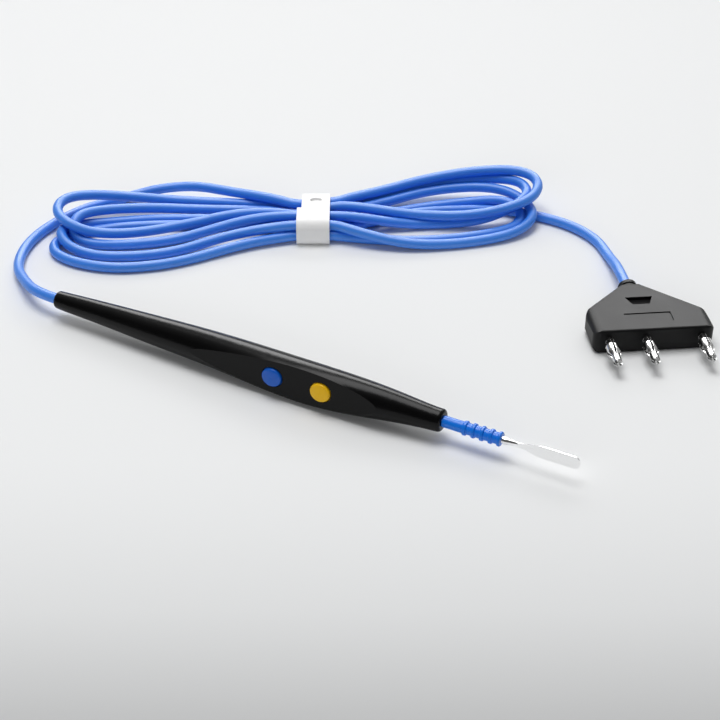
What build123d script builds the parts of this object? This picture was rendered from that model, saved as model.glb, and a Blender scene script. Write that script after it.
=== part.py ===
import math
import os
from build123d import *

os.makedirs("parts", exist_ok=True)

# Handle, in mm. In its own frame X runs from tail to nose and the buttons face +Z
handle_length = 148.9
belly_radius = 7.05
belly_lift = 2.35
station_shares = (0.0, 0.07, 0.2, 0.33, 0.5, 0.66, 0.78, 0.89, 1.0)
radius_shares = (0.44, 0.515, 0.645, 0.77, 0.91, 1.0, 0.925, 0.715, 0.53)
lift_shares = (0.0, 0.0, 0.01, 0.08, 0.42, 1.0, 0.72, 0.16, 0.0)
shell_wall = 1.4
facet_height = 6.1
tail_round = 0.9
nose_round = 1.1
tail_block = 15.5
nose_block = 20.0
roll_above_level = 9.0
overrun = 1.0
seat_gap = 0.05

# Cable, and the collar that holds its jacket in the tail
cable_diameter = 3.8
jacket_inside = 17.0
collar_wall = 0.5
collar_length = 4.8
collar_start = 9.1
lead_radius = 0.45
lead_side = 2.3
lead_rise = 0.85
lead_bend = 2.0
lead_fan_start = 26.0
lead_near_share = 0.5

# Push buttons
button_length = 7.2
button_width = 6.2
cut_share = 0.82
coag_share = 0.4222
button_proud = 1.2
button_crown_radius = 13.0
button_edge_round = 0.5
button_clearance = 0.35
button_travel = 0.6
flange_lip = 0.85
flange_thickness = 0.8
stem_radius = 1.5

# Switch board and its snap domes
board_front_gap = 9.9
board_length = 45.0
board_width = 7.8
board_thickness = 1.2
board_corner = 1.0
dome_radius = 2.5
dome_height = 0.45
dome_sheet = 0.15
rib_thickness = 1.2
rib_shares = (0.15, 0.6, 0.94)

# Pegs that lock the two shells together
peg_shares = (0.47, 0.86)
front_peg_share = 0.42
peg_radius = 0.8
peg_length = 2.2
boss_radius = 1.4

# Electrode and the socket that grips it
shaft_radius = 1.18
shaft_clearance = 0.03
hub_length = 19.5
hub_radius = 1.9
hub_gap = 0.3
hub_ring_radius = 2.4
hub_ring_width = 1.3
hub_ring_round = 0.45
hub_ring_pitch = 2.93
hub_ring_count = 4
hub_lip_width = 1.1
key_flats = 3.4
key_length = 6.0
key_clearance = 0.05
socket_length = 16.0
socket_wall = 0.7
socket_floor = 2.0
socket_collar_radius = 2.55
socket_collar_width = 1.2
socket_collar_share = 0.68
bare_shaft = 5.5
blade_length = 20.2
blade_width = 4.0
blade_root_width = 1.4
blade_root_share = 0.97
blade_flare_share = 0.4
blade_thickness = 0.5
blade_blend = 4.0

# Plug body. In its own frame X runs along the pins, Y back to the cable, and the middle pin is at 0
plug_thickness = 9.0
plug_axis_share = 0.61
plug_left = 18.3
plug_right = 24.0
plug_left_inset = 0.5
plug_right_inset = 1.3
plug_left_depth = 13.6
plug_right_depth = 11.4
plug_depth = 29.0
plug_shoulder_round = 5.0
plug_front_round = 2.6
plug_edge_round = 0.8
plug_side_round = 3.4
plug_wall = 1.7
plug_front_wall = 3.0
neck_centre = 1.0
neck_radius = 3.1
neck_length = 3.0
neck_lip = 0.35
neck_lip_width = 1.6
recess_depth = 1.2
recess_back_width = 9.7
recess_front_width = 5.9
recess_back = 20.2
recess_front = 15.6
recess_centre = 1.8
groove_depth = 0.35
groove_width = 0.8
groove_left = 5.7
groove_right = 10.5
groove_back = 10.2
groove_front = 4.6
plug_place = (91.4, 76.3)
plug_angle = 33.4
clamp_start = 22.0
clamp_length = 3.6
clamp_wall = 0.6
plug_jacket_inside = 12.6
cable_straight = 13.0

# Plug pins: a turned core with a sprung cage of leaves round it
pin_stations = (-12.7, 0.0, 19.05)
pin_length = 14.6
pin_root_radius = 1.45
pin_root_length = 1.2
pin_neck_radius = 0.95
pin_head_length = 3.6
pin_point_radius = 0.85
pin_point_length = 1.1
pin_slot_width = 0.6
pin_slot_depth = 1.8
pin_flange_radius = 2.3
pin_flange_width = 1.2
pin_tail_radius = 1.1
pin_tail_length = 3.6
cage_radius = 2.3
cage_collar_radius = 1.4
cage_collar_length = 0.8
cage_land = 2.4
cage_sheet = 0.32
cage_leaves = 4
cage_slot_width = 0.8
cage_clearance = 0.03

# Hank of cable and the strap round it
hank_place = (-47.8, 94.6)
hank_angle = 35.0
hank_height = 8.0
hank_length = 196.0
hank_width = 62.0
hank_edge_round = 2.5
strap_place = (-47.8, 96.2)
strap_angle = 28.1
strap_width = 10.8
strap_depth = 26.0
strap_height = 9.2
strap_sheet = 0.8
strap_corner = 3.2
flap_width = 12.4
flap_sheet = 0.6
flap_share = 0.45
strap_hole_length = 4.6
strap_hole_width = 3.0
strap_hole_share = 0.22
corner_share = 0.45

cable_radius = cable_diameter / 2
cable_bore = cable_radius + seat_gap
inner_facet = facet_height - shell_wall
nose_x = handle_length
socket_front = nose_x - key_length - 2 * hub_gap
socket_back = socket_front - socket_length
board_end = socket_back - board_front_gap
board_start = board_end - board_length
cut_station = board_start + cut_share * board_length
coag_station = board_start + coag_share * board_length
peg_stations = [tail_block + share * (board_start - tail_block) for share in peg_shares]
peg_stations.append(board_end + front_peg_share * board_front_gap)


# Handle shells
def across(x, y=0.0, z=0.0):
    return Plane(origin=(x, y, z), x_dir=(0, 1, 0), z_dir=(1, 0, 0))


def spindle(offset):
    sections = []
    for station, radius, lift in zip(station_shares, radius_shares, lift_shares):
        plane = across(station * handle_length, 0, lift * belly_lift)
        sections.append(plane * Circle(radius * belly_radius - offset))
    return loft(sections)


def slab(x_from, x_to, low, high):
    size = 4 * belly_radius
    return Pos((x_from + x_to) / 2, 0, (low + high) / 2) * Box(x_to - x_from, size, high - low)


def rod(radius, x_from, x_to, y=0.0, z=0.0):
    return extrude(across(x_from, y, z) * Circle(radius), x_to - x_from)


def end_tool():
    tail_radius = radius_shares[0] * belly_radius + seat_gap
    nose_radius = radius_shares[-1] * belly_radius + seat_gap
    wide = 3 * belly_radius
    tail_centre = (tail_round, tail_radius - tail_round)
    nose_centre = (nose_x - nose_round, nose_radius - nose_round)
    profile = make_face([
        Line((0, 0), (0, tail_centre[1])),
        CenterArc(tail_centre, tail_round, 180, -80),
        Line(CenterArc(tail_centre, tail_round, 180, -80) @ 1, (tail_block, wide)),
        Line((tail_block, wide), (nose_x - nose_block, wide)),
        Line((nose_x - nose_block, wide), CenterArc(nose_centre, nose_round, 80, -80) @ 0),
        CenterArc(nose_centre, nose_round, 80, -80),
        Line((nose_x, nose_centre[1]), (nose_x, 0)),
        Line((nose_x, 0), (0, 0)),
    ])
    return revolve(profile, Axis.X)


def handle_outside():
    body = spindle(0) & end_tool()
    return body - slab(-overrun, nose_x + overrun, facet_height, 3 * belly_radius)


def handle_cavity():
    return spindle(shell_wall) & slab(tail_block, nose_x - nose_block, -2 * belly_radius, inner_facet)


def key_prism(x_from, x_to, clearance):
    hexagon = RegularPolygon(key_flats / 2 + clearance, 6, major_radius=False)
    return extrude(across(x_from) * hexagon, x_to - x_from)


socket_radius = shaft_radius + shaft_clearance + socket_wall
collar_middle = nose_x - nose_block * socket_collar_share
collar_radius = cable_radius + collar_wall
collar_end = collar_start + collar_length


def inner_bores():
    bores = rod(cable_bore, -overrun, tail_block + overrun)
    bores += rod(collar_radius + seat_gap, collar_start - seat_gap, collar_end + seat_gap)
    bores += key_prism(nose_x - key_length - hub_gap, nose_x + overrun, key_clearance)
    bores += rod(socket_radius + seat_gap / 2, nose_x - nose_block - overrun, socket_front + seat_gap)
    bores += rod(shaft_radius + shaft_clearance, socket_front, nose_x)
    half = socket_collar_width / 2 + seat_gap
    bores += rod(socket_collar_radius + seat_gap, collar_middle - half, collar_middle + half)
    return bores


def button_oval(grow, bottom, top, station):
    oval = Ellipse(button_length / 2 + grow, button_width / 2 + grow)
    return extrude(Pos(station, 0, bottom) * oval, top - bottom)


def upright(radius, x, bottom, top):
    return extrude(Pos(x, 0, bottom) * Circle(radius), top - bottom)


def upper_shell(outside, room, bores):
    shell = outside - room
    for x in peg_stations:
        boss = upright(boss_radius, x, 0, 2 * belly_radius) & room
        shell += boss
    shell -= slab(-overrun, nose_x + overrun, -3 * belly_radius, 0)
    shell -= bores
    for x in peg_stations:
        shell -= upright(peg_radius + seat_gap, x, -overrun, peg_length + seat_gap)
    for station in (cut_station, coag_station):
        shell -= button_oval(button_clearance, inner_facet - overrun, facet_height + overrun, station)
    return shell


def lower_shell(outside, room, bores):
    shell = outside - room
    low = -2 * belly_radius
    for share in rib_shares:
        x = board_start + share * board_length
        shell += room & slab(x - rib_thickness / 2, x + rib_thickness / 2, low, 0)
    for x in peg_stations:
        shell += room & upright(boss_radius, x, low, 0)
    shell -= slab(-overrun, nose_x + overrun, 0, 3 * belly_radius)
    shell -= bores
    tunnel = lead_radius + 2 * seat_gap
    shell -= rod(tunnel, board_start, board_end, lead_side, -lead_rise)
    for x in peg_stations:
        shell += upright(peg_radius, x, -overrun, peg_length)
    return shell


# Buttons, switch board, domes and leads
def button(station):
    top = facet_height + button_proud
    cap = button_oval(0, inner_facet - seat_gap - flange_thickness, top, station)
    cap &= Pos(station, 0, top - button_crown_radius) * Sphere(button_crown_radius)
    rim = [edge for edge in cap.edges() if edge.center().Z > facet_height]
    cap = fillet(rim, button_edge_round)
    flange_top = inner_facet - 2 * seat_gap
    cap += button_oval(flange_lip, flange_top - flange_thickness, flange_top, station)
    stem_end = board_thickness + dome_height + button_travel + seat_gap
    cap += upright(stem_radius, station, stem_end, flange_top)
    return cap


def switch_board():
    outline = RectangleRounded(board_length, board_width, board_corner)
    return extrude(Pos(board_start + board_length / 2, 0, 0) * outline, board_thickness)


def snap_dome(station):
    radius = (dome_radius ** 2 + dome_height ** 2) / (2 * dome_height)
    centre = board_thickness + dome_height - radius
    cup = Pos(station, 0, centre) * (Sphere(radius) - Sphere(radius - dome_sheet))
    return cup & upright(2 * dome_radius, station, board_thickness, board_thickness + 2 * dome_height)


def swept(points, radii, radius):
    path = FilletPolyline(*points, radius=radii)
    start = Plane(origin=path @ 0, z_dir=path % 0)
    return sweep(start * Circle(radius), path=path)


def board_lead(side):
    on_board = board_thickness + lead_radius
    near = lead_near_share * cable_radius
    points = [
        (jacket_inside, side * near, near / 2),
        (jacket_inside + lead_bend, side * near, near / 2),
        (lead_fan_start, side * lead_side, lead_rise),
        (board_start - 4 * lead_bend, side * lead_side, lead_rise),
        (board_start - lead_bend, side * lead_side, on_board),
        (board_start + 3 * lead_bend, side * lead_side, on_board),
    ]
    return swept(points, [lead_bend] * 4, lead_radius)


def active_lead():
    near = lead_near_share * cable_radius
    points = [
        (jacket_inside, 0, -near),
        (jacket_inside + lead_bend, 0, -near),
        (lead_fan_start, lead_side, -lead_rise),
        (peg_stations[-1] + boss_radius + 2 * seat_gap, lead_side, -lead_rise),
        (socket_back - lead_bend, 0, 0),
        (socket_back, 0, 0),
    ]
    return swept(points, [lead_bend] * 4, lead_radius)


def jacket_collar():
    return rod(collar_radius, collar_start, collar_end) - rod(cable_radius, 0, handle_length)


def electrode_socket():
    tube = rod(socket_radius, socket_back, socket_front)
    half = socket_collar_width / 2
    tube += rod(socket_collar_radius, collar_middle - half, collar_middle + half)
    return tube - rod(shaft_radius + shaft_clearance, socket_back + socket_floor, nose_x)


# Electrode: a steel shaft flattened to a blade, in a ringed sleeve
hub_start = nose_x + hub_gap
hub_end = hub_start + hub_length
blade_start = hub_end + bare_shaft
blade_end = blade_start + blade_length


def electrode_blade():
    shaft_start = socket_back + socket_floor + hub_gap
    shaft = rod(shaft_radius, shaft_start, blade_start - blade_blend)
    round_end = across(blade_start - blade_blend) * Circle(shaft_radius)
    flat_end = across(blade_start) * Ellipse(blade_root_width / 2, blade_thickness / 2)
    shaft += loft([round_end, flat_end])
    flare_end = blade_start + blade_flare_share * blade_length
    root = blade_root_share * blade_root_width / 2
    tip_radius = blade_width / 2
    outline = make_face([
        Line((blade_start - overrun, -root), (blade_start, -root)),
        Spline((blade_start, -root), (flare_end, -tip_radius), tangents=[(1, 0), (1, 0)]),
        Line((flare_end, -tip_radius), (blade_end - tip_radius, -tip_radius)),
        CenterArc((blade_end - tip_radius, 0), tip_radius, -90, 180),
        Line((blade_end - tip_radius, tip_radius), (flare_end, tip_radius)),
        Spline((flare_end, tip_radius), (blade_start, root), tangents=[(-1, 0), (-1, 0)]),
        Line((blade_start, root), (blade_start - overrun, root)),
        Line((blade_start - overrun, root), (blade_start - overrun, -root)),
    ])
    sheet = extrude(Pos(0, 0, -blade_thickness / 2) * outline, blade_thickness)
    return shaft + sheet


def electrode_hub():
    sleeve = rod(hub_radius, hub_start, hub_end)
    sleeve += key_prism(nose_x - key_length, hub_start, 0)
    last_ring = hub_end - hub_lip_width
    for number in range(hub_ring_count):
        back = last_ring - hub_ring_pitch * (number + 1)
        sleeve += fillet(rod(hub_ring_radius, back, back + hub_ring_width).edges(), hub_ring_round)
    sleeve += fillet(rod(hub_ring_radius, last_ring, hub_end).edges(), hub_ring_round)
    return sleeve - rod(shaft_radius, 0, blade_end)


# Plug housing
axis_height = plug_axis_share * plug_thickness


def plug_outline():
    edge = make_face(Polyline(
        (-plug_left + plug_left_inset, 0),
        (-plug_left, plug_left_depth),
        (neck_centre - neck_radius, plug_depth),
        (neck_centre + neck_radius, plug_depth),
        (plug_right - plug_right_inset, plug_right_depth),
        (plug_right, 0),
        close=True,
    ))
    shoulders = [v for v in edge.vertices() if seat_gap < v.Y < plug_depth - seat_gap]
    edge = fillet(shoulders, plug_shoulder_round)
    fronts = [v for v in edge.vertices() if abs(v.Y) < seat_gap]
    return fillet(fronts, plug_front_round)


def plug_rod(radius, y_from, y_to, x=0.0):
    plane = Plane(origin=(x, y_from, axis_height), x_dir=(1, 0, 0), z_dir=(0, 1, 0))
    return extrude(plane * Circle(radius), y_to - y_from)


def plug_block(x_from, x_to, y_from, y_to, low, high):
    middle = ((x_from + x_to) / 2, (y_from + y_to) / 2, (low + high) / 2)
    return Pos(*middle) * Box(x_to - x_from, y_to - y_from, high - low)


plug_middle = (plug_right - plug_left) / 2
plug_width = plug_left + plug_right
neck_end = plug_depth + neck_length
pin_pocket_back = plug_front_wall + pin_flange_width + 2 * seat_gap


def plug_outside():
    body = extrude(plug_outline(), plug_thickness)
    half = plug_thickness / 2
    level = [edge for edge in body.edges() if abs(edge.center().Z - half) > half - seat_gap]
    body = fillet(level, plug_edge_round)
    side = Plane(origin=(plug_middle, -overrun, half), x_dir=(1, 0, 0), z_dir=(0, 1, 0))
    rounded = side * RectangleRounded(plug_width, plug_thickness, plug_side_round)
    body &= extrude(rounded, plug_depth + 2 * overrun)
    body += plug_rod(neck_radius, plug_depth - plug_wall, neck_end, neck_centre)
    body += plug_rod(neck_radius + neck_lip, neck_end - neck_lip_width, neck_end, neck_centre)
    return body


def plug_cavity():
    front = plug_front_wall
    room = offset(plug_outline(), amount=-plug_wall)
    room = extrude(Pos(0, 0, plug_wall) * room, plug_thickness - 2 * plug_wall)
    keep = plug_block(-plug_left, plug_right, front, clamp_start - plug_wall, 0, plug_thickness)
    return room & keep


def plug_bores():
    bores = plug_rod(cable_bore, clamp_start - plug_wall - overrun, neck_end + overrun, neck_centre)
    clamp_end = clamp_start + clamp_length + seat_gap
    bores += plug_rod(cable_radius + clamp_wall + seat_gap, clamp_start - seat_gap, clamp_end, neck_centre)
    for x in pin_stations:
        bores += plug_rod(pin_root_radius + seat_gap / 2, -overrun, plug_front_wall + overrun, x)
        bores += plug_rod(pin_flange_radius + seat_gap, plug_front_wall, pin_pocket_back, x)
    return bores


def top_marks():
    top = plug_thickness
    recess = make_face(Polyline(
        (recess_centre - recess_back_width / 2, recess_back),
        (recess_centre + recess_back_width / 2, recess_back),
        (recess_centre + recess_front_width / 2, recess_front),
        (recess_centre - recess_front_width / 2, recess_front),
        close=True,
    ))
    marks = extrude(Pos(0, 0, top - recess_depth) * recess, 2 * recess_depth)
    low, high = top - groove_depth, top + overrun
    marks += plug_block(-groove_left, groove_right, groove_back - groove_width, groove_back, low, high)
    marks += plug_block(groove_right - groove_width, groove_right, groove_front, groove_back, low, high)
    return marks


def pin_wall(low, high):
    wall = plug_block(-plug_left, plug_right, pin_pocket_back, pin_pocket_back + plug_wall, low, high)
    for x in pin_stations:
        wall -= plug_rod(pin_tail_radius + seat_gap, 0, plug_depth, x)
    return wall


def plug_half(outside, room, bores, low, high):
    half = outside - room
    half += pin_wall(0, plug_thickness) & room
    half -= bores
    return half & plug_block(-2 * plug_left, 2 * plug_right, -overrun, neck_end + overrun, low, high)


# Plug pins
def turned(profile):
    return revolve(Plane.XY * make_face(Polyline(*profile, close=True)), Axis.Y)


def to_pin(solid, x):
    return Pos(x, 0, axis_height) * solid


cage_front = -pin_length + pin_head_length
cage_back = -pin_root_length


def pin_core(x):
    flange_back = plug_front_wall + seat_gap + pin_flange_width
    tail_back = flange_back + pin_tail_length
    tip_back = -pin_length + pin_point_length
    core = turned([
        (0, tail_back), (pin_tail_radius, tail_back), (pin_tail_radius, flange_back),
        (pin_flange_radius, flange_back), (pin_flange_radius, plug_front_wall + seat_gap),
        (pin_root_radius, plug_front_wall + seat_gap), (pin_root_radius, cage_back),
        (pin_neck_radius, cage_back), (pin_neck_radius, cage_front),
        (pin_root_radius, cage_front), (pin_root_radius, tip_back),
        (pin_point_radius, -pin_length), (0, -pin_length),
    ])
    wide = 3 * pin_root_radius
    for size in ((wide, pin_slot_width), (pin_slot_width, wide)):
        slot = Pos(0, -pin_length, 0) * Box(size[0], 2 * pin_slot_depth, size[1])
        core -= slot
    return to_pin(core, x)


def pin_cage(x):
    middle = (cage_front + cage_back) / 2
    back = cage_back - cage_clearance
    front = cage_front + cage_clearance
    inner = pin_neck_radius + cage_clearance
    bulge = cage_radius - cage_sheet
    collar = cage_collar_radius
    land_back, land_front = middle + cage_land / 2, middle - cage_land / 2
    collar_back, collar_front = back - cage_collar_length, front + cage_collar_length
    along = [(0, -1), (0, -1)]
    against = [(0, 1), (0, 1)]
    skin = make_face([
        Line((inner, back), (collar, back)),
        Line((collar, back), (collar, collar_back)),
        Spline((collar, collar_back), (cage_radius, land_back), tangents=along),
        Line((cage_radius, land_back), (cage_radius, land_front)),
        Spline((cage_radius, land_front), (collar, collar_front), tangents=along),
        Line((collar, collar_front), (collar, front)),
        Line((collar, front), (inner, front)),
        Line((inner, front), (inner, collar_front)),
        Spline((inner, collar_front), (bulge, land_front), tangents=against),
        Line((bulge, land_front), (bulge, land_back)),
        Spline((bulge, land_back), (inner, collar_back), tangents=against),
        Line((inner, collar_back), (inner, back)),
    ])
    cage = revolve(skin, Axis.Y)
    slot_length = collar_back - collar_front
    for number in range(cage_leaves):
        blank = Pos(0, middle, cage_radius) * Box(cage_slot_width, slot_length, 2 * cage_radius)
        cage -= Rot(0, (number + 0.5) * 360 / cage_leaves, 0) * blank
    return to_pin(cage, x)


def plug_lead(x, side):
    tail_back = plug_front_wall + seat_gap + pin_flange_width + pin_tail_length
    jacket_face = neck_end - plug_jacket_inside
    aim = neck_centre + side * lead_near_share * cable_radius
    points = [
        (x, tail_back, axis_height),
        (x, tail_back + lead_bend, axis_height),
        (aim, jacket_face - lead_bend, axis_height),
        (aim, jacket_face, axis_height),
    ]
    return swept(points, [lead_bend / 2] * 2, lead_radius)


def clamp_ring():
    ring = plug_rod(cable_radius + clamp_wall, clamp_start, clamp_start + clamp_length, neck_centre)
    return ring - plug_rod(cable_radius, 0, 2 * plug_depth, neck_centre)


# Hank of cable, its strap and the free ends of the cable
hank_shares = (
    (-0.512, -0.02), (-0.512, 0.33), (-0.45, 0.565), (-0.255, 0.61), (-0.11, 0.42), (-0.02, 0.19),
    (0.12, 0.37), (0.25, 0.55), (0.40, 0.59), (0.48, 0.42), (0.47, 0.13), (0.425, -0.20), (0.30, -0.385),
    (0.16, -0.32), (0.02, -0.165), (-0.15, -0.22), (-0.29, -0.41), (-0.42, -0.38), (-0.497, -0.20),
)
hank_windows = ((-0.32, 0.08, 0.24, 0.13), (0.3, 0.21, 0.2, 0.09))


def on_floor(place, angle):
    return Location((place[0], place[1], 0), (0, 0, angle))


def hank_solid():
    points = [(share[0] * hank_length, share[1] * hank_width) for share in hank_shares]
    body = extrude(make_face(Spline(*points, periodic=True)), hank_height)
    body = fillet(body.faces().sort_by(Axis.Z)[-1].edges(), hank_edge_round)
    for along, side, length, width in hank_windows:
        place = Pos(along * hank_length, side * hank_width, 0)
        window = Ellipse(length * hank_length / 2, width * hank_width / 2)
        body -= extrude(place * window, 3 * hank_height, both=True)
    return on_floor(hank_place, hank_angle) * body


def strap_ring(depth, height, corner, width):
    return extrude(across(-width / 2, 0, strap_height / 2) * RectangleRounded(depth, height, corner), width)


def strap_solid():
    band = strap_ring(strap_depth, strap_height, strap_corner, strap_width)
    sheets = 2 * strap_sheet
    inner_corner = strap_corner - strap_sheet
    band -= strap_ring(strap_depth - sheets, strap_height - sheets, inner_corner, 2 * strap_width)
    grown = 2 * flap_sheet
    flap = strap_ring(strap_depth + grown, strap_height + grown, strap_corner + flap_sheet, flap_width)
    flap -= strap_ring(strap_depth, strap_height, strap_corner, 2 * flap_width)
    keep_depth = flap_share * strap_depth
    keep = Pos(0, -strap_depth + keep_depth / 2, strap_height) * Box(
        2 * flap_width, strap_depth + keep_depth, 2 * strap_height
    )
    band += Pos((strap_width - flap_width) / 2, 0, 0) * (flap & keep)
    hole = Pos(0, strap_hole_share * strap_depth, strap_height) * extrude(
        Ellipse(strap_hole_length / 2, strap_hole_width / 2), 4 * strap_sheet, both=True
    )
    return on_floor(strap_place, strap_angle) * (band - hole)


def strap_seat():
    shrink = 2 * (strap_sheet + seat_gap)
    corner = strap_corner - strap_sheet - seat_gap
    room = flap_width + 2 * strap_sheet
    block = Box(room, 3 * strap_depth, 3 * strap_height)
    block -= strap_ring(strap_depth - shrink, strap_height - shrink, corner, 2 * room)
    return on_floor(strap_place, strap_angle) * block


def corner_radii(points):
    places = [Vector(*point) for point in points]
    radii = []
    for before, corner, after in zip(places, places[1:], places[2:]):
        turn = math.radians((corner - before).get_angle(after - corner))
        shorter = min((corner - before).length, (after - corner).length)
        radii.append(corner_share * shorter / math.tan(turn / 2))
    return radii


def cable(name, points):
    radii = corner_radii(points)
    tube = swept(points, radii, cable_radius)
    length = FilletPolyline(*points, radius=radii).length
    worked_out = math.pi * cable_radius ** 2 * length
    print(name, "length", round(length, 1), "radii", [round(radius, 1) for radius in radii])
    print("    volume", round(tube.volume, 1), "against", round(worked_out, 1))
    return tube


# The pencil lies on its belly, rolled so that the buttons look to -Y and a little up
outside, room, bores = handle_outside(), handle_cavity(), inner_bores()
pencil = {
    "upper_shell": upper_shell(outside, room, bores),
    "lower_shell": lower_shell(outside, room, bores),
    "cut_button": button(cut_station),
    "coag_button": button(coag_station),
    "switch_board": switch_board(),
    "cut_dome": snap_dome(cut_station),
    "coag_dome": snap_dome(coag_station),
    "cut_lead": board_lead(1),
    "coag_lead": board_lead(-1),
    "active_lead": active_lead(),
    "jacket_collar": jacket_collar(),
    "jacket_end": rod(cable_radius, 0, jacket_inside),
    "electrode_socket": electrode_socket(),
    "electrode_blade": electrode_blade(),
    "electrode_hub": electrode_hub(),
}
rolled = Rot(90 - roll_above_level, 0, 0)
box = Compound([rolled * solid for solid in pencil.values()]).bounding_box()
axis_place = (-box.center().X, -box.center().Y, -box.min.Z)
laid_down = Pos(*axis_place) * rolled
nodes = {name: laid_down * solid for name, solid in pencil.items()}
print("axis place", [round(value, 3) for value in axis_place])

# The plug lies flat beside it
plug_frame = on_floor(plug_place, plug_angle)
casing, hollow, holes = plug_outside(), plug_cavity(), plug_bores()
plug = {
    "plug_base": plug_half(casing, hollow, holes, 0, axis_height),
    "plug_cover": plug_half(casing, hollow, holes, axis_height, plug_thickness) - top_marks(),
    "plug_clamp": clamp_ring(),
    "plug_jacket_end": plug_rod(cable_radius, neck_end - plug_jacket_inside, neck_end, neck_centre),
}
for number, station in enumerate(pin_stations, start=1):
    plug[f"plug_pin_{number}"] = pin_core(station)
    plug[f"pin_cage_{number}"] = pin_cage(station)
    plug[f"plug_lead_{number}"] = plug_lead(station, number - 2)
nodes.update({name: plug_frame * solid for name, solid in plug.items()})

# The cable runs from the tail into the hank, and from the hank to the plug
nodes["cable_hank"] = hank_solid() - strap_seat()
nodes["cable_strap"] = strap_solid()
tail_exit = axis_place
plug_exit = (plug_frame * Pos(neck_centre, neck_end, axis_height)).position
before_exit = (plug_frame * Pos(neck_centre, neck_end + cable_straight, axis_height)).position
pencil_route = [
    tail_exit, (-106.7, tail_exit[1], tail_exit[2]), (-118.0, 8.2, 4.1), (-128.8, 17.0, 1.9),
    (-135.2, 29.5, 1.9), (-137.1, 43.0, 1.9), (-135.2, 55.7, 1.9),
]
plug_route = [
    (16.0, 140.5, 1.9), (27.0, 142.0, 1.9), (39.5, 141.0, 1.9), (51.5, 135.5, 1.9),
    (60.0, 125.8, 1.9), tuple(before_exit), tuple(plug_exit),
]
print("exit", [round(value, 3) for value in (*before_exit, *plug_exit)])
nodes["cable_pencil_end"] = cable("pencil end", pencil_route)
nodes["cable_plug_end"] = cable("plug end", plug_route)

for name, solid in nodes.items():
    export_step(solid, f"parts/{name}.step")
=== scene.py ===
import math

import bmesh
import bpy
from mathutils import Matrix, Vector


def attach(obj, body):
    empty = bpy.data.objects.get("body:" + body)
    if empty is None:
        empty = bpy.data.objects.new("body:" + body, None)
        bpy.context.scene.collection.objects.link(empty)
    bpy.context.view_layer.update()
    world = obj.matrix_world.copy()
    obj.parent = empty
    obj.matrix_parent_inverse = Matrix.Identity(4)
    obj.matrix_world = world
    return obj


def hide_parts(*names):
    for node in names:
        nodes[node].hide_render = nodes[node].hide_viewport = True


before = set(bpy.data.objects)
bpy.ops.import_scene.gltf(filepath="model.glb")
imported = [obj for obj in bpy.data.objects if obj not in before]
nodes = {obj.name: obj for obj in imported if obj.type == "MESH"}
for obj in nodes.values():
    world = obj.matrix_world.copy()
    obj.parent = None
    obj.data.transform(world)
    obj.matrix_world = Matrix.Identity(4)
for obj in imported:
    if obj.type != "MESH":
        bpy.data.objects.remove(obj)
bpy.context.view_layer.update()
mm = 0.001
print("frame loaded:", len(nodes), "nodes")

# what the finishes share, where their own looks say nothing else
plainLook = {
    "metal": 0.0, "specular": 0.5, "rough": (0.4, 0.5), "stretch": (1.0, 1.0, 1.0),
    "mottleScale": 300.0, "mottleDetail": 3.0,
    "grainScale": 2000.0, "grainDetail": 2.0, "grain": 0.05, "grainDepth": 0.00003,
}


def addObject(name, data):
    made = bpy.data.objects.new(name, data)
    bpy.context.scene.collection.objects.link(made)
    return made


def newMaterial(name):
    material = bpy.data.materials.new(name)
    material.use_nodes = True
    tree = material.node_tree
    return material, tree, tree.nodes["Principled BSDF"]


def addNode(tree, kind, **values):
    node = tree.nodes.new(kind)
    for key, value in values.items():
        if key in node.inputs:
            node.inputs[key].default_value = value
        else:
            setattr(node, key, value)
    return node


def objectNoise(tree, look, layer):
    place = addNode(tree, "ShaderNodeTexCoord")
    mapping = addNode(tree, "ShaderNodeMapping", Scale=look["stretch"])
    noise = addNode(
        tree, "ShaderNodeTexNoise", Scale=look[layer + "Scale"], Detail=look[layer + "Detail"],
    )
    tree.links.new(place.outputs["Object"], mapping.inputs["Vector"])
    tree.links.new(mapping.outputs["Vector"], noise.inputs["Vector"])
    return noise.outputs["Fac"]


def varyColour(tree, shader, source, dark, light):
    ramp = addNode(tree, "ShaderNodeValToRGB")
    ramp.color_ramp.elements[0].color = (*dark, 1)
    ramp.color_ramp.elements[1].color = (*light, 1)
    tree.links.new(source, ramp.inputs["Fac"])
    tree.links.new(ramp.outputs["Color"], shader.inputs["Base Color"])


def varyRoughness(tree, shader, source, low, high):
    spread = addNode(tree, "ShaderNodeMapRange")
    spread.inputs["To Min"].default_value = low
    spread.inputs["To Max"].default_value = high
    tree.links.new(source, spread.inputs["Value"])
    tree.links.new(spread.outputs["Result"], shader.inputs["Roughness"])


def addBump(tree, shader, source, strength, depth):
    bump = addNode(tree, "ShaderNodeBump", Strength=strength, Distance=depth)
    tree.links.new(source, bump.inputs["Height"])
    tree.links.new(bump.outputs["Normal"], shader.inputs["Normal"])


def finishMaterial(name, ownLook):
    look = {**plainLook, **ownLook}
    material, tree, shader = newMaterial(name)
    shader.inputs["Metallic"].default_value = look["metal"]
    shader.inputs["Specular IOR Level"].default_value = look["specular"]
    mottle = objectNoise(tree, look, "mottle")
    varyColour(tree, shader, mottle, look["dark"], look["light"])
    varyRoughness(tree, shader, mottle, *look["rough"])
    grain = objectNoise(tree, look, "grain")
    addBump(tree, shader, grain, look["grain"], look["grainDepth"])
    return material


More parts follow.
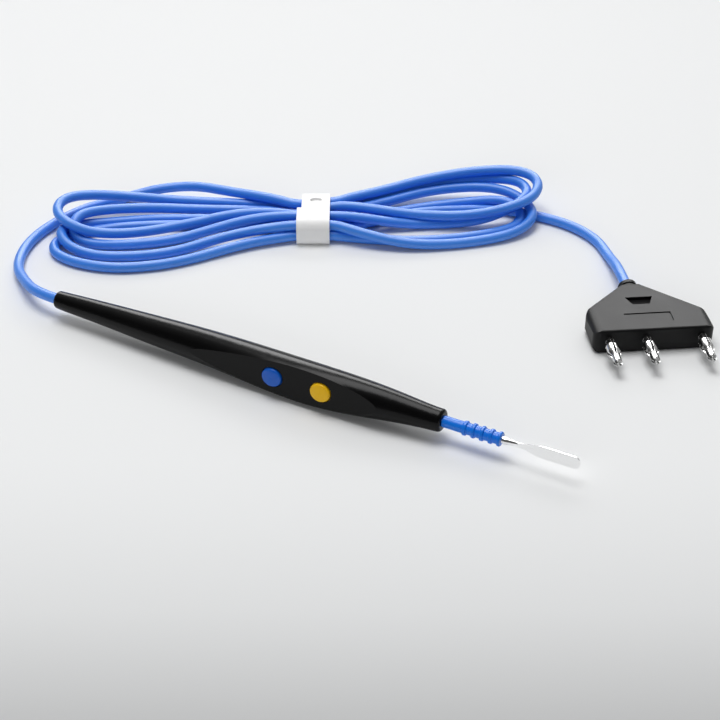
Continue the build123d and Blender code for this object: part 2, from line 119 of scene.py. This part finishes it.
# the camera looks down on the pencil from the front right
camera = {
    "place": (0.20927, -0.34940, 0.29826), "target": (0.00862, 0.02634, 0.0),
    "lens": 77.22, "sensor": 36.0, "nearClip": 0.01,
}
cameraData = bpy.data.cameras.new("camera")
cameraData.lens = camera["lens"]
cameraData.sensor_width = camera["sensor"]
cameraData.sensor_fit = "HORIZONTAL"
cameraData.clip_start = camera["nearClip"]
cameraObject = addObject("camera", cameraData)
cameraObject.location = camera["place"]
aim = Vector(camera["target"]) - Vector(camera["place"])
cameraObject.rotation_euler = aim.to_track_quat("-Z", "Y").to_euler()
bpy.context.scene.camera = cameraObject
print("camera set")

# one spline from the pencil's tail, round the hank, to the plug's neck (mm and degrees)
cable = {
    "diameter": 3.8,
    "length": 1881.0,
    "order": 3,
    "roundSegments": 7,
    "curveSteps": 6,
    "look": {
        "dark": (0.030, 0.220, 0.82), "light": (0.040, 0.250, 0.88), "specular": 1.0,
        "rough": (0.40, 0.48), "mottleScale": 60.0, "grainScale": 2500.0, "grain": 0.06,
    },
    "hankPlace": (-47.8, 94.6),
    "hankAngle": 35.0,
    "pencilRoute": [
        (-97.2, 0.906, 6.682), (-106.7, 0.906, 6.682), (-118.0, 8.2, 4.1), (-128.8, 17.0, 1.9),
        (-135.2, 29.5, 1.9), (-137.1, 43.0, 1.9), (-135.2, 55.7, 1.9),
    ],
    "plugRoute": [
        (16.0, 140.5, 1.9), (27.0, 142.0, 1.9), (39.5, 141.0, 1.9), (51.5, 135.5, 1.9),
        (60.0, 125.8, 1.9), (67.463, 114.419, 5.49), (74.619, 103.566, 5.49),
    ],
    # along the hank, across it and up, for each control point
    "turns": [
        [  # in from the pencil, along the back
            (-87.1, 23.7, 1.9), (-81.2, 26.6, 1.9), (-75.9, 28.7, 1.9), (-70.9, 30.3, 2.2),
            (-65.7, 31.5, 3.0), (-59.4, 32.1, 4.0), (-52.5, 31.9, 4.7), (-46.1, 30.6, 5.4),
            (-40.2, 28.2, 5.9), (-34.0, 24.8, 6.1), (-26.9, 20.8, 6.4), (-19.7, 16.5, 7.0),
            (-12.3, 12.3, 7.1), (-5.3, 8.5, 6.4), (1.8, 9.3, 6.5), (9.0, 9.0, 6.4),
        ],
        [  # first turn, on top
            (15.3, 11.2, 6.9), (22.9, 13.3, 7.0), (31.7, 15.4, 7.6), (40.8, 17.2, 8.8),
            (51.5, 18.1, 10.2), (61.9, 17.9, 11.5), (70.6, 16.7, 12.4), (77.8, 14.8, 13.1),
            (83.2, 12.0, 13.3), (86.7, 8.1, 13.0), (87.5, 3.6, 12.1), (85.8, -0.9, 11.2),
            (81.9, -4.8, 10.2), (74.9, -6.8, 8.9), (67.7, -7.0, 7.4), (60.6, -6.5, 6.3),
            (52.4, -5.4, 5.6), (44.3, -3.9, 5.6), (37.1, -2.1, 5.6), (29.6, 0.1, 6.0),
            (21.5, 2.7, 6.5), (14.0, 4.8, 6.8), (8.7, 5.6, 6.6), (1.3, 5.1, 5.5), (-5.8, 4.6, 4.2),
            (-12.9, 5.2, 5.4), (-20.4, 5.3, 6.1), (-28.0, 5.0, 6.2), (-35.6, 4.2, 5.8),
            (-43.1, 3.1, 4.9), (-51.4, 1.9, 4.3), (-60.9, 0.5, 3.7), (-71.7, -0.8, 3.9),
            (-80.4, -1.4, 5.0), (-86.4, -1.2, 6.6), (-91.7, 0.6, 8.7), (-95.3, 5.0, 9.5),
            (-96.5, 9.9, 10.3), (-95.0, 14.7, 10.8), (-91.0, 18.3, 10.6), (-84.6, 20.7, 9.6),
            (-75.3, 21.8, 8.1), (-64.1, 22.0, 6.3), (-52.8, 21.5, 4.6), (-42.6, 20.7, 3.7),
            (-33.2, 19.5, 3.3), (-24.0, 17.7, 3.1), (-14.6, 15.2, 3.3), (-4.4, 11.8, 2.6),
            (2.0, 11.5, 2.7), (9.1, 10.0, 2.6),
        ],
        [  # second turn
            (15.5, 12.6, 3.5), (23.1, 14.6, 3.4), (31.9, 16.7, 3.9), (40.7, 18.5, 5.0),
            (48.3, 19.6, 6.2), (59.4, 19.0, 7.6), (70.6, 16.9, 8.6), (77.2, 14.1, 9.4),
            (81.4, 10.3, 10.0), (83.3, 5.6, 9.9), (82.7, 1.2, 9.4), (79.6, -2.2, 8.3),
            (74.7, -4.0, 6.3), (68.3, -4.9, 4.1), (61.1, -5.1, 2.6), (52.7, -4.6, 1.9),
            (44.3, -4.1, 1.9), (36.8, -4.0, 2.4), (29.1, -3.8, 3.6), (20.8, -3.4, 5.3),
            (13.1, -2.4, 6.4), (7.8, -1.6, 6.5), (0.6, -0.8, 6.5), (-6.3, 0.1, 6.5),
            (-13.2, 0.8, 6.5), (-20.8, 0.8, 6.2), (-28.3, 0.3, 5.4), (-35.9, -0.9, 4.2),
            (-43.4, -2.4, 3.1), (-50.9, -4.0, 2.2), (-58.9, -5.3, 1.9), (-70.0, -5.8, 1.9),
            (-79.7, -4.9, 1.9), (-85.8, -3.3, 2.3), (-89.4, -0.8, 3.4), (-90.7, 2.1, 5.2),
            (-90.1, 5.1, 7.2), (-88.0, 8.4, 7.8), (-84.0, 11.4, 7.3), (-78.2, 13.7, 6.5),
            (-70.8, 15.3, 5.7), (-60.6, 16.1, 4.8), (-50.5, 16.0, 3.8), (-41.2, 15.3, 3.2),
            (-32.1, 14.2, 3.0), (-23.5, 12.7, 3.1), (-14.3, 10.6, 3.2), (-5.0, 8.0, 2.6),
            (1.5, 7.6, 2.7), (8.7, 6.2, 2.6),
        ],
        [  # third turn, the widest
            (15.0, 8.2, 3.2), (22.6, 10.3, 3.2), (31.4, 12.6, 3.7), (40.2, 14.7, 4.6),
            (47.5, 15.8, 5.2), (56.1, 15.8, 5.9), (64.5, 14.7, 6.5), (71.4, 12.5, 6.8),
            (76.7, 9.2, 6.7), (80.6, 4.9, 6.2), (83.1, -0.1, 5.5), (83.8, -5.5, 5.1),
            (82.1, -10.1, 4.1), (77.3, -14.2, 3.0), (70.0, -17.3, 2.3), (58.7, -19.2, 1.9),
            (46.7, -20.0, 2.0), (35.5, -19.5, 2.7), (27.1, -17.7, 3.8), (19.3, -14.7, 5.0),
            (12.1, -11.2, 6.0), (7.0, -8.4, 6.6), (-0.3, -7.9, 6.5), (-7.2, -6.9, 6.6),
            (-13.9, -6.4, 6.0), (-21.3, -6.4, 5.3), (-28.8, -7.0, 4.5), (-36.3, -8.3, 3.7),
            (-43.7, -10.3, 2.8), (-51.1, -12.4, 2.1), (-59.0, -14.1, 1.9), (-70.1, -14.5, 1.9),
            (-80.4, -13.0, 1.9), (-87.4, -10.1, 2.4), (-92.7, -6.2, 3.6), (-95.1, -1.6, 5.2),
            (-94.7, 3.3, 5.3), (-91.2, 7.3, 4.1), (-85.0, 9.5, 3.2), (-78.0, 10.8, 2.5),
            (-70.1, 11.5, 2.3), (-60.8, 11.7, 2.2), (-51.4, 11.2, 2.0), (-41.5, 10.1, 2.0),
            (-32.4, 8.5, 2.1), (-23.9, 6.2, 2.2), (-14.9, 3.4, 2.4), (-6.0, 0.4, 2.7),
            (0.6, 0.1, 2.7), (7.7, -1.4, 2.7),
        ],
        [  # last turn
            (14.1, 1.1, 2.8), (21.7, 3.5, 2.2), (30.4, 5.7, 2.1), (38.5, 7.3, 2.3),
            (46.3, 8.2, 2.6), (54.8, 8.3, 3.2), (62.2, 7.7, 3.9), (68.6, 6.3, 4.9),
            (73.6, 4.1, 5.6), (77.2, 1.0, 5.5), (79.3, -2.4, 4.2), (79.2, -6.0, 3.1),
            (76.8, -9.4, 2.2), (72.3, -12.2, 1.9), (64.5, -14.3, 1.9), (54.9, -15.8, 1.9),
            (44.3, -16.3, 1.9), (35.2, -15.8, 1.9), (27.6, -14.5, 1.9), (19.6, -12.5, 1.9),
            (12.1, -10.7, 2.2), (6.8, -9.7, 2.8), (-0.4, -9.0, 2.7), (-7.3, -7.8, 2.7),
            (-14.1, -8.6, 2.5), (-21.6, -9.9, 2.4), (-29.1, -12.0, 2.3), (-36.6, -14.7, 2.1),
            (-44.0, -17.6, 1.9), (-51.4, -20.1, 1.9), (-59.2, -21.8, 1.9), (-69.7, -22.4, 1.9),
            (-77.5, -21.3, 1.9), (-84.7, -18.8, 1.9), (-91.8, -14.7, 1.9), (-96.5, -9.8, 1.9),
            (-98.2, -4.6, 1.9), (-96.8, 0.1, 1.9), (-92.3, 3.4, 1.9), (-86.4, 5.6, 2.0),
            (-79.6, 6.8, 2.0), (-71.8, 7.4, 2.1), (-61.0, 7.4, 2.0), (-51.4, 6.7, 1.9),
            (-41.7, 5.5, 1.9), (-32.6, 3.8, 1.9), (-24.2, 1.5, 2.2), (-15.3, -1.3, 2.5),
            (-6.5, -4.0, 2.7), (0.1, -4.4, 2.7), (7.2, -5.9, 2.8),
        ],
        [  # out to the plug, under the turns
            (13.6, -3.2, 2.3), (21.2, -0.5, 2.2), (29.9, 1.7, 2.5), (37.9, 3.4, 2.7),
            (45.7, 4.4, 2.6), (54.3, 4.6, 2.4), (62.8, 4.2, 2.3), (69.7, 3.7, 2.1),
            (74.5, 3.0, 1.9),
        ],
    ],
}


def hankPoint(along, across, height):
    angle = math.radians(cable["hankAngle"])
    x = cable["hankPlace"][0] + along * math.cos(angle) - across * math.sin(angle)
    y = cable["hankPlace"][1] + along * math.sin(angle) + across * math.cos(angle)
    return x, y, height


def buildCable():
    route = list(cable["pencilRoute"])
    for turn in cable["turns"]:
        route += [hankPoint(*point) for point in turn]
    route += cable["plugRoute"]
    curve = bpy.data.curves.new("cableLine", "CURVE")
    curve.dimensions = "3D"
    curve.bevel_depth = cable["diameter"] / 2 * mm
    curve.bevel_resolution = cable["roundSegments"]
    curve.resolution_u = cable["curveSteps"]
    spline = curve.splines.new("NURBS")
    spline.points.add(len(route) - 1)
    for point, (x, y, z) in zip(spline.points, route):
        point.co = (x * mm, y * mm, z * mm, 1)
    spline.order_u = cable["order"]
    spline.use_endpoint_u = True
    return addObject("cableLine", curve)


cableBlue = finishMaterial("cableBlue", cable["look"])
cableLine = buildCable()
cableLine.data.materials.append(cableBlue)
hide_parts("cable_pencil_end", "cable_hank", "cable_plug_end")
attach(cableLine, "pencil")
print("cable laid")

# moulded and turned finishes for the solids
looks = {
    "handleBlack": {
        "dark": (0.0020, 0.0020, 0.0021), "light": (0.0032, 0.0032, 0.0034), "specular": 0.17,
        "rough": (0.20, 0.27), "mottleScale": 90.0, "grainScale": 1800.0, "grainDepth": 0.00004,
    },
    "plugBlack": {
        "dark": (0.003, 0.003, 0.0035), "light": (0.005, 0.005, 0.0055), "specular": 0.22,
        "rough": (0.40, 0.48), "mottleScale": 120.0,
        "grainScale": 2600.0, "grain": 0.12, "grainDepth": 0.00004,
    },
    "hubBlue": {
        "dark": (0.002, 0.17, 0.78), "light": (0.004, 0.20, 0.85),
        "rough": (0.25, 0.33), "mottleScale": 200.0, "grainScale": 2500.0,
    },
    "buttonYellow": {
        "dark": (0.88, 0.50, 0.006), "light": (0.94, 0.56, 0.010), "specular": 0.3,
        "rough": (0.26, 0.34), "mottleScale": 200.0, "grainScale": 2500.0, "grain": 0.06,
    },
    "buttonBlue": {
        "dark": (0.004, 0.095, 0.52), "light": (0.006, 0.12, 0.60), "specular": 0.4,
        "rough": (0.18, 0.26), "mottleScale": 200.0, "grainScale": 2500.0, "grain": 0.06,
    },
    "bladeSteel": {
        "dark": (0.94, 0.94, 0.94), "light": (1.0, 1.0, 1.0), "metal": 1.0,
        "rough": (0.16, 0.26), "stretch": (0.05, 1.0, 1.0), "mottleScale": 400.0,
        "grainScale": 3000.0, "grain": 0.10, "grainDepth": 0.00002,
    },
    "pinMetal": {
        "dark": (0.60, 0.60, 0.60), "light": (0.72, 0.72, 0.71), "metal": 1.0,
        "rough": (0.12, 0.2), "mottleScale": 400.0, "grainScale": 3000.0, "grainDepth": 0.00002,
    },
    "strapWhite": {
        "dark": (0.90, 0.90, 0.90), "light": (0.94, 0.94, 0.94),
        "rough": (0.5, 0.6), "grainScale": 1500.0, "grain": 0.1, "grainDepth": 0.00004,
    },
    "collarNylon": {
        "dark": (0.62, 0.61, 0.56), "light": (0.68, 0.67, 0.62), "mottleScale": 200.0,
    },
    "boardGreen": {
        "dark": (0.015, 0.11, 0.04), "light": (0.02, 0.14, 0.05),
        "rough": (0.35, 0.45), "grainScale": 1500.0,
    },
    "domeSteel": {
        "dark": (0.52, 0.52, 0.52), "light": (0.60, 0.60, 0.60), "metal": 1.0,
        "rough": (0.2, 0.3), "mottleScale": 400.0, "grainDepth": 0.00002,
    },
    "socketBrass": {
        "dark": (0.60, 0.42, 0.16), "light": (0.68, 0.48, 0.2), "metal": 1.0,
        "rough": (0.22, 0.32), "mottleScale": 400.0, "grainDepth": 0.00002,
    },
    "leadRed": {"dark": (0.45, 0.02, 0.015), "light": (0.5, 0.03, 0.02)},
    "leadWhite": {"dark": (0.7, 0.7, 0.68), "light": (0.76, 0.76, 0.74)},
    "leadBlack": {"dark": (0.015, 0.015, 0.016), "light": (0.022, 0.022, 0.023)},
}
finishes = {name: finishMaterial(name, look) for name, look in looks.items()}
finishes["cableBlue"] = cableBlue

# where the plug lies, and the height of its pins (mm and degrees)
plug = {"place": (91.4, 76.3), "angle": 33.4, "pinHeight": 5.49}

# the plug's moulded recess is rough, so its floor shines less than the cover; in the plug's frame
recess = {"centre": (1.8, 17.9), "half": (5.4, 2.8), "top": 8.5, "rough": 0.95}


def roughenRecess(material):
    tree = material.node_tree
    shader = tree.nodes["Principled BSDF"]
    place = addNode(tree, "ShaderNodeTexCoord")
    turn = addNode(tree, "ShaderNodeMapping", vector_type="TEXTURE")
    turn.inputs["Location"].default_value = (plug["place"][0] * mm, plug["place"][1] * mm, 0)
    turn.inputs["Rotation"].default_value = (0, 0, math.radians(plug["angle"]))
    split = addNode(tree, "ShaderNodeSeparateXYZ")
    tree.links.new(place.outputs["Object"], turn.inputs["Vector"])
    tree.links.new(turn.outputs["Vector"], split.inputs["Vector"])
    inside = []
    for axis, middle, half in zip("XY", recess["centre"], recess["half"]):
        near = addNode(tree, "ShaderNodeMath", operation="COMPARE")
        near.inputs[1].default_value = middle * mm
        near.inputs[2].default_value = half * mm
        tree.links.new(split.outputs[axis], near.inputs[0])
        inside.append(near.outputs["Value"])
    below = addNode(tree, "ShaderNodeMath", operation="LESS_THAN")
    below.inputs[1].default_value = recess["top"] * mm
    tree.links.new(split.outputs["Z"], below.inputs[0])
    inside.append(below.outputs["Value"])
    mask = inside[0]
    for factor in inside[1:]:
        both = addNode(tree, "ShaderNodeMath", operation="MULTIPLY")
        tree.links.new(mask, both.inputs[0])
        tree.links.new(factor, both.inputs[1])
        mask = both.outputs["Value"]
    blend = addNode(tree, "ShaderNodeMix")
    tree.links.new(mask, blend.inputs["Factor"])
    tree.links.new(shader.inputs["Roughness"].links[0].from_socket, blend.inputs["A"])
    blend.inputs["B"].default_value = recess["rough"]
    tree.links.new(blend.outputs["Result"], shader.inputs["Roughness"])


roughenRecess(finishes["plugBlack"])

# which solids wear which finish
wearing = {
    "handleBlack": ["upper_shell", "lower_shell"],
    "plugBlack": ["plug_base", "plug_cover"],
    "hubBlue": ["electrode_hub"],
    "buttonYellow": ["cut_button"],
    "buttonBlue": ["coag_button"],
    "bladeSteel": ["electrode_blade"],
    "pinMetal": ["plug_pin_1", "plug_pin_2", "plug_pin_3"],
    "strapWhite": ["cable_strap"],
    "collarNylon": ["jacket_collar", "plug_clamp"],
    "boardGreen": ["switch_board"],
    "domeSteel": ["cut_dome", "coag_dome"],
    "socketBrass": ["electrode_socket"],
    "leadRed": ["cut_lead", "plug_lead_1"],
    "leadWhite": ["coag_lead", "plug_lead_2"],
    "leadBlack": ["active_lead", "plug_lead_3"],
    "cableBlue": [
        "jacket_end", "plug_jacket_end", "cable_pencil_end", "cable_hank", "cable_plug_end",
    ],
}
for finish, names in wearing.items():
    for name in names:
        nodes[name].data.materials.clear()
        nodes[name].data.materials.append(finishes[finish])
print("finishes on")

# the spring cages, turned so that one slot looks up as on the real pins (degrees)
pinCages = {"numbers": (1, 2, 3), "turn": 45.0}


def turnCage(number):
    name = f"pin_cage_{number}"
    mesh = nodes[name].data.copy()
    mesh.transform(nodes[name].matrix_world)
    middle = sum((vertex.co for vertex in mesh.vertices), Vector()) / len(mesh.vertices)
    middle.z = plug["pinHeight"] * mm
    angle = math.radians(plug["angle"])
    along = Vector((math.sin(angle), -math.cos(angle), 0))
    place = Matrix.Translation(middle)
    turn = Matrix.Rotation(math.radians(pinCages["turn"]), 4, along)
    mesh.transform(place @ turn @ place.inverted())
    mesh.materials.clear()
    mesh.materials.append(finishes["pinMetal"])
    cage = addObject(f"pinCage{number}", mesh)
    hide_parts(name)
    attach(cage, "pencil")
    return cage


cages = [turnCage(number) for number in pinCages["numbers"]]

# the strap's inner end shows through its punched hole (mm and degrees)
strapTail = {
    "place": (-47.8, 96.2), "angle": 28.1, "across": 5.7, "height": 8.12,
    "size": (9.4, 7.0), "sheet": 0.26, "corner": 1.2, "steps": 6,
}


def buildStrapTail():
    shape = bmesh.new()
    halfLong, halfWide = (side / 2 for side in strapTail["size"])
    corner, rim = strapTail["corner"], []
    for turn, (x, y) in enumerate(((1, 1), (-1, 1), (-1, -1), (1, -1))):
        for step in range(strapTail["steps"] + 1):
            angle = (turn + step / strapTail["steps"]) * math.pi / 2
            rim.append(shape.verts.new((
                (x * (halfLong - corner) + corner * math.cos(angle)) * mm,
                (y * (halfWide - corner) + corner * math.sin(angle) + strapTail["across"]) * mm,
                strapTail["height"] * mm,
            )))
    sheet = shape.faces.new(rim)
    lifted = bmesh.ops.extrude_face_region(shape, geom=[sheet])["geom"]
    for part in lifted:
        if isinstance(part, bmesh.types.BMVert):
            part.co.z += strapTail["sheet"] * mm
    bmesh.ops.recalc_face_normals(shape, faces=shape.faces)
    mesh = bpy.data.meshes.new("strapTail")
    shape.to_mesh(mesh)
    shape.free()
    x, y = strapTail["place"]
    turn = Matrix.Rotation(math.radians(strapTail["angle"]), 4, "Z")
    mesh.transform(Matrix.Translation((x * mm, y * mm, 0)) @ turn)
    mesh.materials.append(finishes["strapWhite"])
    tail = addObject("strapTail", mesh)
    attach(tail, "pencil")
    return tail


tail = buildStrapTail()
print("cages turned, strap end in")

# the pieces that hang on the cable
plugPieces = ["plug_base", "plug_cover", "plug_clamp", "plug_jacket_end", "cable_strap"]
for number in pinCages["numbers"]:
    plugPieces += [f"plug_pin_{number}", f"plug_lead_{number}"]

# the floor's colour is painted darker towards the camera as painted shade, and the sky brightens
# upwards and to the back
studio = {
    "floorSize": 3.0, "floorRough": 0.75, "floorSpecular": 0.1, "tint": (0.985, 0.995, 1.0),
    "fadeAngle": 118.1, "fadeFrom": -0.25, "fadeTo": 0.35,
    # painted shade: the floor's colour stops, darkest nearest the camera and pale far away
    "paintedShadeTones": [(0.0, 0.32), (0.18, 0.57), (0.25, 0.80), (0.36, 0.92), (1.0, 0.89)],
    "skyLean": (-0.1, 0.66, 0.74), "skyFrom": 0.1, "skyTo": 1.0,
    "skyDark": 0.07, "skyBright": 0.55,
}
# each lamp faces the origin; the last two light only shine or only plain surfaces
lamps = {
    "topLamp": {
        "place": (-0.25, 0.22, 1.30), "size": (0.80, 0.70), "power": 10.4,
        "diffuse": True, "glossy": True,
    },
    "backLamp": {
        "place": (-0.50, 1.10, 0.80), "size": (1.50, 0.45), "power": 3.0,
        "diffuse": True, "glossy": True,
    },
    "sheenLamp": {
        "place": (-0.52, 1.14, 0.80), "size": (1.50, 0.50), "power": 16.0,
        "diffuse": False, "glossy": True,
    },
    "frontFill": {
        "place": (0.15, -1.30, 0.45), "size": (1.20, 0.50), "power": 3.8,
        "diffuse": True, "glossy": False,
    },
}


def buildFloor():
    half = studio["floorSize"] / 2
    corners = [(-half, -half, 0), (half, -half, 0), (half, half, 0), (-half, half, 0)]
    mesh = bpy.data.meshes.new("floor")
    mesh.from_pydata(corners, [], [(0, 1, 2, 3)])
    floor = addObject("floor", mesh)
    material, tree, shader = newMaterial("paleFloor")
    place = addNode(tree, "ShaderNodeTexCoord")
    turn = addNode(tree, "ShaderNodeMapping")
    turn.inputs["Rotation"].default_value = (0, 0, -math.radians(studio["fadeAngle"]))
    split = addNode(tree, "ShaderNodeSeparateXYZ")
    fade = addNode(tree, "ShaderNodeMapRange")
    fade.inputs["From Min"].default_value = studio["fadeFrom"]
    fade.inputs["From Max"].default_value = studio["fadeTo"]
    # painted shade: this ramp paints the floor's colour dark near the camera and pale far away
    paintedShadeTones = addNode(tree, "ShaderNodeValToRGB")
    paintedShadeTones.color_ramp.interpolation = "B_SPLINE"
    while len(paintedShadeTones.color_ramp.elements) < len(studio["paintedShadeTones"]):
        paintedShadeTones.color_ramp.elements.new(0.5)  # halfway, until the loop below places it
    for stop, (position, tone) in zip(paintedShadeTones.color_ramp.elements, studio["paintedShadeTones"]):
        stop.position = position
        stop.color = (*(tone * share for share in studio["tint"]), 1)
    tree.links.new(place.outputs["Object"], turn.inputs["Vector"])
    tree.links.new(turn.outputs["Vector"], split.inputs["Vector"])
    tree.links.new(split.outputs["X"], fade.inputs["Value"])
    tree.links.new(fade.outputs["Result"], paintedShadeTones.inputs["Fac"])
    tree.links.new(paintedShadeTones.outputs["Color"], shader.inputs["Base Color"])
    shader.inputs["Roughness"].default_value = studio["floorRough"]
    shader.inputs["Specular IOR Level"].default_value = studio["floorSpecular"]
    mesh.materials.append(material)


def buildWorld():
    world = bpy.data.worlds.new("studio")
    bpy.context.scene.world = world
    world.use_nodes = True
    tree = world.node_tree
    background = tree.nodes["Background"]
    place = addNode(tree, "ShaderNodeTexCoord")
    lean = addNode(tree, "ShaderNodeVectorMath", operation="DOT_PRODUCT")
    lean.inputs[1].default_value = studio["skyLean"]
    sky = addNode(tree, "ShaderNodeMapRange")
    sky.inputs["From Min"].default_value = studio["skyFrom"]
    sky.inputs["From Max"].default_value = studio["skyTo"]
    sky.inputs["To Min"].default_value = studio["skyDark"]
    sky.inputs["To Max"].default_value = studio["skyBright"]
    tree.links.new(place.outputs["Generated"], lean.inputs[0])
    tree.links.new(lean.outputs["Value"], sky.inputs["Value"])
    tree.links.new(sky.outputs["Result"], background.inputs["Strength"])
    background.inputs["Color"].default_value = (1, 1, 1, 1)


def buildLamps():
    for name, setting in lamps.items():
        lamp = bpy.data.lights.new(name, "AREA")
        lamp.shape = "RECTANGLE"
        lamp.size, lamp.size_y = setting["size"]
        lamp.energy = setting["power"]
        lampObject = addObject(name, lamp)
        lampObject.location = setting["place"]
        lampObject.visible_diffuse = setting["diffuse"]
        lampObject.visible_glossy = setting["glossy"]
        aim = -Vector(setting["place"])
        lampObject.rotation_euler = aim.to_track_quat("-Z", "Y").to_euler()


buildFloor()
buildWorld()
buildLamps()
bpy.context.scene.view_settings.view_transform = "Standard"
print("stage set")
